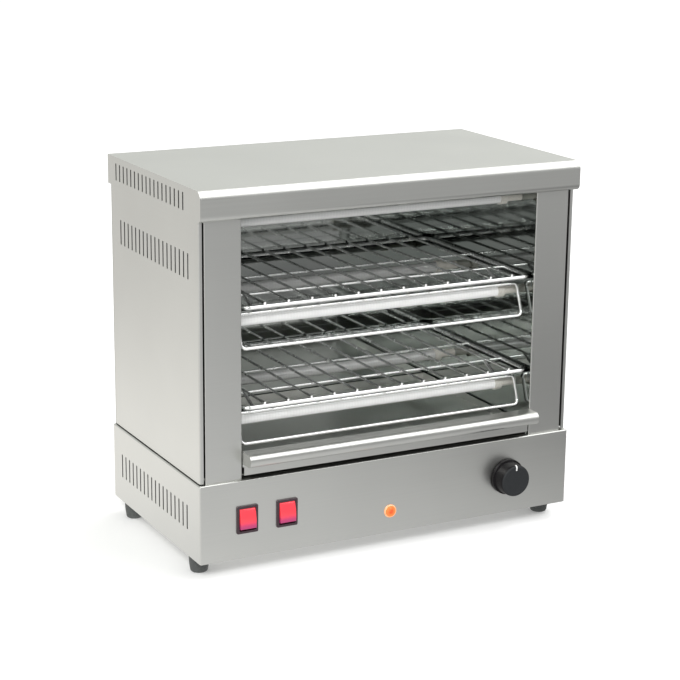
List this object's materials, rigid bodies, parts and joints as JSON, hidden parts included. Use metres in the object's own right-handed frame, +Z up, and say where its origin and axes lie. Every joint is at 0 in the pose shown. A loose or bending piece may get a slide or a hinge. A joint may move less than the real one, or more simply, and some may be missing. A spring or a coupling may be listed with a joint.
{
  "type": "commercial toaster",
  "caption": "Open-fronted bar toaster in folded stainless sheet with sliding wire racks between quartz tube heaters, a crumb tray, rocker switches and a control knob.",
  "frame": {"origin": "middle of the bounding box, on the surface that the feet stand on", "axes": "+X along the width, to the right as seen from the front; +Y towards the back; +Z up"},
  "size_m": [0.45, 0.286, 0.4105],
  "materials": {
    "stainless": "brushed",
    "polished_stainless": "polished",
    "rubber": "matte",
    "steel_screws": "zinc plated",
    "quartz": "frosted",
    "heating_wire": "oxidised",
    "ceramic": "glazed ceramic",
    "chrome_wire": "bright",
    "black_plastic": "gloss",
    "red_plastic": "translucent gloss",
    "amber_plastic": "translucent gloss",
    "white_paint": "satin",
    "shaft_steel": "turned",
    "moulded_black": "satin",
    "moulded_white": "satin"
  },
  "bodies": {
    "cabinet": {"base_housing": "stainless", "base_bottom_plate": "stainless", "left_side_panel": "stainless", "right_side_panel": "stainless", "back_panel": "stainless", "top_cover": "stainless", "cover_brackets": "stainless", "left_tray_runner": "stainless", "right_tray_runner": "stainless", "left_inner_wall": "polished_stainless", "right_inner_wall": "polished_stainless", "cavity_back_wall": "polished_stainless", "reflector_ceiling": "polished_stainless", "left_upper_rail": "polished_stainless", "right_upper_rail": "polished_stainless", "left_lower_rail": "polished_stainless", "right_lower_rail": "polished_stainless", "upper_rear_rail": "polished_stainless", "lower_rear_rail": "polished_stainless", "front_left_foot": "rubber", "front_right_foot": "rubber", "rear_left_foot": "rubber", "rear_right_foot": "rubber", "foot_screws": "steel_screws", "bottom_plate_screws": "steel_screws", "back_panel_screws": "steel_screws", "cover_screws": "steel_screws", "regulator_nut": "steel_screws", "top_front_quartz_tube": "quartz", "top_rear_quartz_tube": "quartz", "top_heating_coils": "heating_wire", "top_ceramic_caps": "ceramic", "middle_front_quartz_tube": "quartz", "middle_rear_quartz_tube": "quartz", "middle_heating_coils": "heating_wire", "middle_ceramic_caps": "ceramic", "bottom_front_quartz_tube": "quartz", "bottom_rear_quartz_tube": "quartz", "bottom_heating_coils": "heating_wire", "bottom_ceramic_caps": "ceramic", "left_switch_body": "black_plastic", "right_switch_body": "black_plastic", "pilot_body": "black_plastic", "pilot_lens": "amber_plastic", "regulator": "moulded_black", "cable_gland": "moulded_black", "gland_dome_nut": "moulded_black", "gland_locknut": "moulded_black", "terminal_block": "moulded_white"},
    "upper_rack_assembly": {"upper_rack": "chrome_wire", "upper_rack_handle": "chrome_wire"},
    "lower_rack_assembly": {"lower_rack": "chrome_wire", "lower_rack_handle": "chrome_wire"},
    "crumb_tray_body": {"crumb_tray": "stainless"},
    "knob": {"control_knob": "black_plastic", "knob_pointer": "white_paint", "regulator_shaft": "shaft_steel"},
    "left_rocker_body": {"left_rocker": "red_plastic"},
    "right_rocker_body": {"right_rocker": "red_plastic"}
  },
  "joints": [
    {"name": "upper_rack_slide", "type": "slide", "parent": "cabinet", "child": "upper_rack_assembly", "axis": [0, -1, 0], "range_m": [0, 0.2]},
    {"name": "lower_rack_slide", "type": "slide", "parent": "cabinet", "child": "lower_rack_assembly", "axis": [0, -1, 0], "range_m": [0, 0.2]},
    {"name": "crumb_tray_slide", "type": "slide", "parent": "cabinet", "child": "crumb_tray_body", "axis": [0, -1, 0], "range_m": [0, 0.2]},
    {"name": "knob_turn", "type": "hinge", "parent": "cabinet", "child": "knob", "pos_m": [0.1455, -0.1225, 0.0615], "axis": [0, 1, 0], "range_deg": [0, 300]},
    {"name": "left_rocker_turn", "type": "hinge", "parent": "cabinet", "child": "left_rocker_body", "pos_m": [-0.1716, -0.1175, 0.0618], "axis": [1, 0, 0], "range_deg": [0, 19]},
    {"name": "right_rocker_turn", "type": "hinge", "parent": "cabinet", "child": "right_rocker_body", "pos_m": [-0.1258, -0.1175, 0.0618], "axis": [1, 0, 0], "range_deg": [0, 19]}
  ]
}
